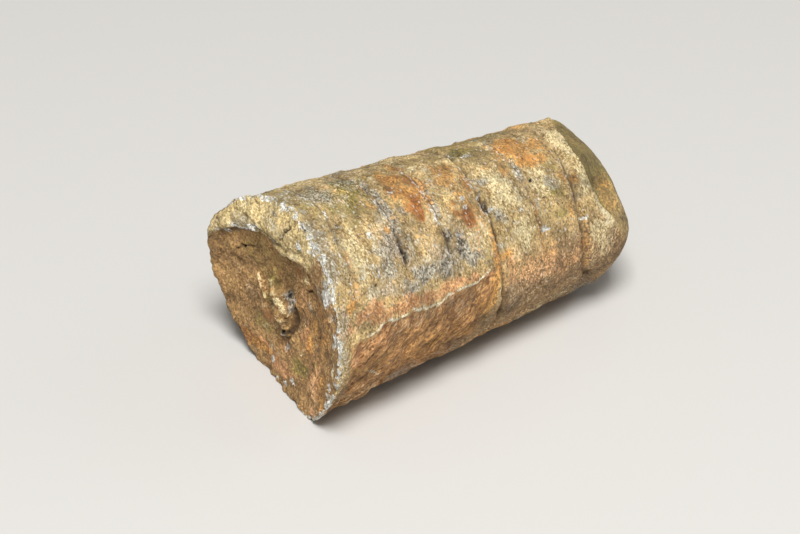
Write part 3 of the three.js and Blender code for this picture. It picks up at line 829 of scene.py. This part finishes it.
def makeStone():
    grid = shellGrid()
    rows = len(grid["rowPlace"])
    rough = basePoints(grid, np.zeros(len(grid["place"])))
    relief = np.zeros(len(rough))
    onSide = grid["zone"] == 1
    relief[onSide] = sideRelief(grid["place"][onSide], grid["angle"][onSide], rough[onSide])
    print("chamber walls and gashes laid out")
    points = basePoints(grid, relief)
    laid = layDown(points)
    middle = (laid.min(0) + laid.max(0)) / 2

    mesh = bpy.data.meshes.new("orthoceras_stone")
    mesh.from_pydata(points.tolist(), [], shellFaces(rows))
    normals = np.zeros(points.size)
    mesh.vertices.foreach_get("normal", normals)
    detail = surfaceRelief(grid, rough)
    points = points + normals.reshape(-1, 3) * detail[:, None]
    print("surface broken up")
    laid = (layDown(points) - (middle[0], middle[1], 0)) * mm
    mesh.vertices.foreach_set("co", laid.ravel())
    mesh.shade_smooth()

    for name, mask in paintMasks(grid, rough, detail).items():
        layer = mesh.attributes.new(name, "FLOAT", "POINT")
        layer.data.foreach_set("value", mask.astype(np.float32))
    uvLayer = mesh.uv_layers.new(name="OFBake")
    uvLayer.data.foreach_set("uv", flatUvs(grid, rows).ravel())
    mesh.update()
    print("stains painted on", len(mesh.vertices), "points; middle of the laid fossil", middle)
    stone = bpy.data.objects.new("orthoceras_stone", mesh)
    bpy.context.scene.collection.objects.link(stone)
    return stone


def fillInputs(tree, made, inputs):
    for key, value in inputs.items():
        if isinstance(value, bpy.types.NodeSocket):
            tree.links.new(value, made.inputs[key])
        else:
            made.inputs[key].default_value = value


def addNode(tree, kind, inputs=None, **settings):
    made = tree.nodes.new(kind)
    for key, value in settings.items():
        setattr(made, key, value)
    fillInputs(tree, made, inputs or {})
    return made


def newGroup(name, inputs, outputs):
    tree = bpy.data.node_groups.new(name, "ShaderNodeTree")
    for label, kind, value in inputs:
        socket = tree.interface.new_socket(label, in_out="INPUT", socket_type=kind)
        socket.default_value = value
    for label, kind in outputs:
        tree.interface.new_socket(label, in_out="OUTPUT", socket_type=kind)
    return tree, tree.nodes.new("NodeGroupInput").outputs, tree.nodes.new("NodeGroupOutput").inputs


def mixColour(tree, factor, under, over, blend="MIX"):
    made = addNode(tree, "ShaderNodeMix", {0: factor, 6: under, 7: over},
                   data_type="RGBA", blend_type=blend)
    return made.outputs[2]


def mathNode(tree, operation, a, b=0.0, c=0.0, clamp=False):
    made = addNode(tree, "ShaderNodeMath", {0: a, 1: b, 2: c}, operation=operation, use_clamp=clamp)
    return made.outputs[0]


grainLook = {  # sizes are shares of the grain size
    "fineDetail": 3.0, "fineRoughness": 0.65, "mottleDetail": 7.0, "mottleRoughness": 0.66,
    "cellShare": 0.8, "speckShare": 1.9, "speckRim": 0.42, "speckMiddle": 0.2, "speckFrom": 0.72,
    "speckFull": 0.8, "heightShare": 2.2, "heightDetail": 6.0, "heightRoughness": 0.7,
    "cellDip": -0.12, "speckDip": -0.14,
}


def grainGroup():  # fine noise, separate mineral grains, specks and broad mottling from one place
    tree, given, out = newGroup(
        "stoneGrain",
        [("Grain Size mm", "NodeSocketFloat", 0.45), ("Mottle Size mm", "NodeSocketFloat", 2.4),
         ("Stretch Along", "NodeSocketFloat", 1.4), ("Slanted", "NodeSocketFloat", 0.0)],
        [("Fine", "NodeSocketFloat"), ("Grain", "NodeSocketFloat"), ("Mottle", "NodeSocketFloat"),
         ("Pale Specks", "NodeSocketFloat"), ("Dark Specks", "NodeSocketFloat"),
         ("Height", "NodeSocketFloat")])
    place = addNode(tree, "ShaderNodeTexCoord").outputs["Object"]
    shape = addNode(tree, "ShaderNodeCombineXYZ", {0: given["Stretch Along"], 1: 1.0, 2: 1.0}).outputs[0]
    straight = addNode(tree, "ShaderNodeVectorMath", {0: place, 1: shape}, operation="MULTIPLY").outputs[0]
    slant = (0, math.radians(flake["rise"]), 0)
    turned = addNode(tree, "ShaderNodeMapping", {"Vector": place, "Rotation": slant}).outputs[0]
    slanted = addNode(tree, "ShaderNodeVectorMath", {0: turned, 1: flake["grainStretch"]},
                      operation="MULTIPLY").outputs[0]
    place = addNode(tree, "ShaderNodeMix", {0: given["Slanted"], 4: straight, 5: slanted},
                    data_type="VECTOR").outputs[1]

    def perMetre(size, share):
        return mathNode(tree, "DIVIDE", 1000.0 / share, size)

    def noiseAt(scale, detail, roughness):
        return addNode(tree, "ShaderNodeTexNoise", {"Vector": place, "Scale": scale, "Detail": detail,
                                                    "Roughness": roughness}).outputs[0]

    def spread(value, low, high):
        return addNode(tree, "ShaderNodeMapRange", {0: value, 1: low, 2: high}).outputs[0]

    look, size, broad = grainLook, given["Grain Size mm"], given["Mottle Size mm"]
    fine = noiseAt(perMetre(size, 1.0), look["fineDetail"], look["fineRoughness"])
    mottle = noiseAt(perMetre(broad, 1.0), look["mottleDetail"], look["mottleRoughness"])
    cellScale = perMetre(size, look["cellShare"])
    cell = addNode(tree, "ShaderNodeTexVoronoi", {"Vector": place, "Scale": cellScale})
    random = addNode(tree, "ShaderNodeSeparateColor", {0: cell.outputs["Color"]}).outputs[0]
    speckScale = perMetre(size, look["speckShare"])
    speck = addNode(tree, "ShaderNodeTexVoronoi", {"Vector": place, "Scale": speckScale})
    middle = spread(speck.outputs["Distance"], look["speckRim"], look["speckMiddle"])
    chosen = addNode(tree, "ShaderNodeSeparateColor", {0: speck.outputs["Color"]})
    pick = [spread(chosen.outputs[i], look["speckFrom"], look["speckFull"]) for i in (0, 1)]
    pale, dark = [mathNode(tree, "MULTIPLY", middle, picked) for picked in pick]
    relief = noiseAt(perMetre(size, look["heightShare"]), look["heightDetail"], look["heightRoughness"])
    relief = mathNode(tree, "MULTIPLY_ADD", cell.outputs["Distance"], look["cellDip"], relief)
    relief = mathNode(tree, "MULTIPLY_ADD", dark, look["speckDip"], relief)
    made = {"Fine": spread(fine, 0.35, 0.65), "Grain": random, "Mottle": spread(mottle, 0.34, 0.66),
            "Pale Specks": pale, "Dark Specks": dark, "Height": relief}
    for label, value in made.items():
        tree.links.new(value, out[label])
    return tree


def stainGroup():  # one mineral stain laid over what is under it, broken up by the grain
    tree, given, out = newGroup(
        "mineralStain",
        [("Under", "NodeSocketColor", (0.5, 0.5, 0.5, 1)), ("Mask", "NodeSocketFloat", 0.0),
         ("Break Up", "NodeSocketFloat", 0.5), ("Tone", "NodeSocketFloat", 0.5),
         ("Dark", "NodeSocketColor", (0, 0, 0, 1)), ("Light", "NodeSocketColor", (1, 1, 1, 1)),
         ("Ragged", "NodeSocketFloat", 0.5), ("Strength", "NodeSocketFloat", 1.0)],
        [("Colour", "NodeSocketColor"), ("Cover", "NodeSocketFloat")])
    shift = mathNode(tree, "MULTIPLY", mathNode(tree, "SUBTRACT", given["Break Up"], 0.5), given["Ragged"])
    nearStain = mathNode(tree, "MULTIPLY_ADD", given["Mask"], 6.0, 0.25, clamp=True)
    shift = mathNode(tree, "MULTIPLY", shift, nearStain)
    cover = addNode(tree, "ShaderNodeMapRange",
                    {0: mathNode(tree, "ADD", given["Mask"], shift), 1: 0.1, 2: 0.72},
                    interpolation_type="SMOOTHSTEP").outputs[0]
    cover = mathNode(tree, "MULTIPLY", cover, given["Strength"], clamp=True)
    own = mixColour(tree, given["Tone"], given["Dark"], given["Light"])
    tree.links.new(mixColour(tree, cover, given["Under"], own), out["Colour"])
    tree.links.new(cover, out["Cover"])
    return tree


def colour(red, green, blue):  # from screen values, 0 to 255
    linear = [((v / 255 + 0.055) / 1.055) ** 2.4 if v > 10 else v / 3294 for v in (red, green, blue)]
    return (*linear, 1.0)


stoneLook = {
    "bodyDark": colour(128, 100, 56), "bodyLight": colour(244, 212, 150),
    "grainSize": 0.4, "mottleSize": 2.4, "stretch": 1.5, "slantedFrom": 0.3,
    "toneGrain": 0.45, "toneMottle": 0.6, "breakGrain": 0.4, "breakFine": 0.25, "breakMottle": 0.35,
    "grainContrast": 0.42, "fineContrast": 0.44, "deepestShade": 0.45, "bump": 1.0, "bumpDepth": 0.85,
    "darkSpeckStrength": 0.45, "roughness": 0.8, "crystalRoughness": 0.38,
    "paleSpeck": colour(252, 248, 234), "darkSpeck": colour(74, 60, 42),
    # mask, dark end, light end, how ragged, strength, how far its tone goes grain by grain
    "stains": [
        # low: painted shade, a darker brown on the parts that face the floor
        ("low", colour(128, 98, 64), colour(190, 152, 108), 0.5, 0.85, 0.2),
        ("dish", colour(138, 102, 58), colour(204, 162, 106), 0.5, 1.0, 0.2),
        ("crust", colour(166, 138, 86), colour(252, 228, 168), 0.5, 0.9, 0.3),
        ("flake", colour(144, 96, 54), colour(222, 168, 106), 0.5, 0.95, 0.1),
        ("moss", colour(88, 78, 32), colour(174, 156, 84), 0.9, 0.92, 0.4),
        # cream stains, and the painted highlights along the boss's ridges and the dome's crest
        ("creamAndHighlight", colour(210, 184, 124), colour(255, 240, 194), 0.8, 0.85, 0.4),
        ("slate", colour(46, 44, 40), colour(206, 200, 182), 1.0, 0.86, 0.75),
        ("salmon", colour(180, 114, 68), colour(250, 194, 136), 0.8, 0.85, 0.1),
        ("rust", colour(144, 84, 36), colour(242, 184, 102), 0.9, 0.9, 0.1),
        ("umber", colour(96, 54, 24), colour(178, 112, 58), 1.0, 0.9, 0.3),
        # soil in grooves and cracks, and also the painted shadow under the crust's edge, beside the boss
        # and in the dome's recess
        ("soilAndShadow", colour(52, 36, 20), colour(104, 72, 42), 0.4, 0.9, 0.0),
        ("paleLine", colour(230, 208, 160), colour(255, 246, 218), 0.4, 1.0, 0.3),
        ("chalk", colour(158, 150, 128), colour(255, 254, 246), 1.1, 1.0, 0.5),
        ("pit", colour(22, 17, 12), colour(48, 36, 26), 0.3, 1.0, 0.0),
    ],
}


def fillGroup(tree, group, values):
    made = addNode(tree, "ShaderNodeGroup", node_tree=group)
    fillInputs(tree, made, values)
    return made.outputs


def stoneMaterial(grain, stain):
    look = stoneLook
    material = bpy.data.materials.new("weathered limestone")
    material.use_nodes = True
    tree = material.node_tree
    tree.nodes.clear()

    def painted(name):
        return addNode(tree, "ShaderNodeAttribute", attribute_name=name).outputs["Fac"]

    onFlake = mathNode(tree, "GREATER_THAN", painted("flake"), look["slantedFrom"])
    field = fillGroup(tree, grain, {
        "Grain Size mm": look["grainSize"], "Mottle Size mm": look["mottleSize"],
        "Stretch Along": look["stretch"], "Slanted": onFlake})
    tone = mathNode(tree, "MULTIPLY", field["Mottle"], look["toneMottle"])
    tone = mathNode(tree, "MULTIPLY_ADD", field["Grain"], look["toneGrain"], tone)
    breakUp = mathNode(tree, "MULTIPLY", field["Mottle"], look["breakMottle"])
    breakUp = mathNode(tree, "MULTIPLY_ADD", field["Fine"], look["breakFine"], breakUp)
    breakUp = mathNode(tree, "MULTIPLY_ADD", field["Grain"], look["breakGrain"], breakUp)
    surface = mixColour(tree, tone, look["bodyDark"], look["bodyLight"])
    covers = {}
    for name, dark, light, ragged, strength, grainy in look["stains"]:
        ownTone = addNode(tree, "ShaderNodeMix", {0: grainy, 2: tone, 3: field["Grain"]}).outputs[0]
        layer = fillGroup(tree, stain, {"Under": surface, "Mask": painted(name), "Break Up": breakUp,
                                        "Tone": ownTone, "Dark": dark, "Light": light,
                                        "Ragged": ragged, "Strength": strength})
        surface = layer["Colour"]
        covers[name] = layer["Cover"]

    grainDeep, fineDeep = look["grainContrast"], look["fineContrast"]
    shadeAndTone = mathNode(tree, "MULTIPLY_ADD", field["Grain"], grainDeep, 1 - 0.6 * grainDeep)
    lift = mathNode(tree, "MULTIPLY_ADD", field["Fine"], fineDeep, 1 - 0.5 * fineDeep)
    # painted shade from the relief, with random tone streaks
    hollows = mathNode(tree, "MAXIMUM", painted("shadeAndTone"), look["deepestShade"])
    shadeAndTone = mathNode(tree, "MULTIPLY", mathNode(tree, "MULTIPLY", shadeAndTone, hollows), lift)
    surface = mixColour(tree, 1.0, surface, shadeAndTone, "MULTIPLY")
    # pale crystal specks, also standing in for painted glints
    paleSpecks = mathNode(tree, "MULTIPLY", field["Pale Specks"], painted("sparkle"))
    surface = mixColour(tree, paleSpecks, surface, look["paleSpeck"])
    darkSpecks = mathNode(tree, "MULTIPLY", field["Dark Specks"], look["darkSpeckStrength"])
    surface = mixColour(tree, darkSpecks, surface, look["darkSpeck"])

    roughness = addNode(tree, "ShaderNodeMapRange",
                        {0: covers["chalk"], 3: look["roughness"], 4: look["crystalRoughness"]}).outputs[0]
    bump = addNode(tree, "ShaderNodeBump", {"Strength": look["bump"], "Distance": look["bumpDepth"] * mm,
                                            "Height": field["Height"]}).outputs[0]
    shader = addNode(tree, "ShaderNodeBsdfPrincipled",
                     {"Base Color": surface, "Roughness": roughness, "Normal": bump})
    addNode(tree, "ShaderNodeOutputMaterial", {"Surface": shader.outputs[0]})
    return material


def plainMaterial(name, tint, roughness):
    material = bpy.data.materials.new(name)
    material.use_nodes = True
    shader = material.node_tree.nodes["Principled BSDF"]
    shader.inputs["Base Color"].default_value = tint
    shader.inputs["Roughness"].default_value = roughness
    return material


stone = makeStone()
stone.data.materials.append(stoneMaterial(grainGroup(), stainGroup()))
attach(stone, "root")
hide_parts("orthocone_mould")
print("stone finished")

studio = {
    "floorSize": 3.0, "floorTint": colour(198, 196, 192), "floorRoughness": 0.7,
    "worldTint": (1.0, 0.985, 0.95, 1), "worldStrength": 0.26,
    "keyFrom": (-0.28, -0.42, 0.95), "keySize": 0.36, "keyPower": 15.0,
    "fillFrom": (0.9, -0.5, 0.6), "fillSize": 0.8, "fillPower": 1.5,
}


def makeFloor():
    half = studio["floorSize"] / 2
    mesh = bpy.data.meshes.new("floor")
    corners = [(-half, -half, 0), (half, -half, 0), (half, half, 0), (-half, half, 0)]
    mesh.from_pydata(corners, [], [(0, 1, 2, 3)])
    floor = bpy.data.objects.new("floor", mesh)
    bpy.context.scene.collection.objects.link(floor)
    mesh.materials.append(plainMaterial("pale floor", studio["floorTint"], studio["floorRoughness"]))


def makeLight(name, position, size, power):
    lamp = bpy.data.lights.new(name, "AREA")
    lamp.size = size
    lamp.energy = power
    holder = bpy.data.objects.new(name, lamp)
    holder.location = position
    holder.rotation_euler = Vector(position).to_track_quat("Z", "Y").to_euler()
    bpy.context.scene.collection.objects.link(holder)


def makeWorld():
    world = bpy.data.worlds.new("studio")
    world.use_nodes = True
    background = world.node_tree.nodes["Background"]
    background.inputs["Color"].default_value = studio["worldTint"]
    background.inputs["Strength"].default_value = studio["worldStrength"]
    bpy.context.scene.world = world


shot = {  # degrees and mm
    "turn": -35.5, "rise": 35.0, "distance": 447.5, "aim": (4.75, 17.65, 0.0),
    "lens": 117.0, "sensor": 36.0,
}


def makeCamera():
    turn, rise = math.radians(shot["turn"]), math.radians(shot["rise"])
    back = Vector((math.sin(turn) * math.cos(rise), -math.cos(turn) * math.cos(rise), math.sin(rise)))
    camera = bpy.data.objects.new("camera", bpy.data.cameras.new("camera"))
    camera.data.lens = shot["lens"]
    camera.data.sensor_width = shot["sensor"]
    camera.data.clip_start = 0.01
    camera.location = (Vector(shot["aim"]) + back * shot["distance"]) * mm
    camera.rotation_euler = back.to_track_quat("Z", "Y").to_euler()
    bpy.context.scene.collection.objects.link(camera)
    bpy.context.scene.camera = camera


makeFloor()
makeLight("key light", studio["keyFrom"], studio["keySize"], studio["keyPower"])
makeLight("fill light", studio["fillFrom"], studio["fillSize"], studio["fillPower"])
makeWorld()
makeCamera()
bpy.context.scene.view_settings.view_transform = "Standard"
print("studio set")
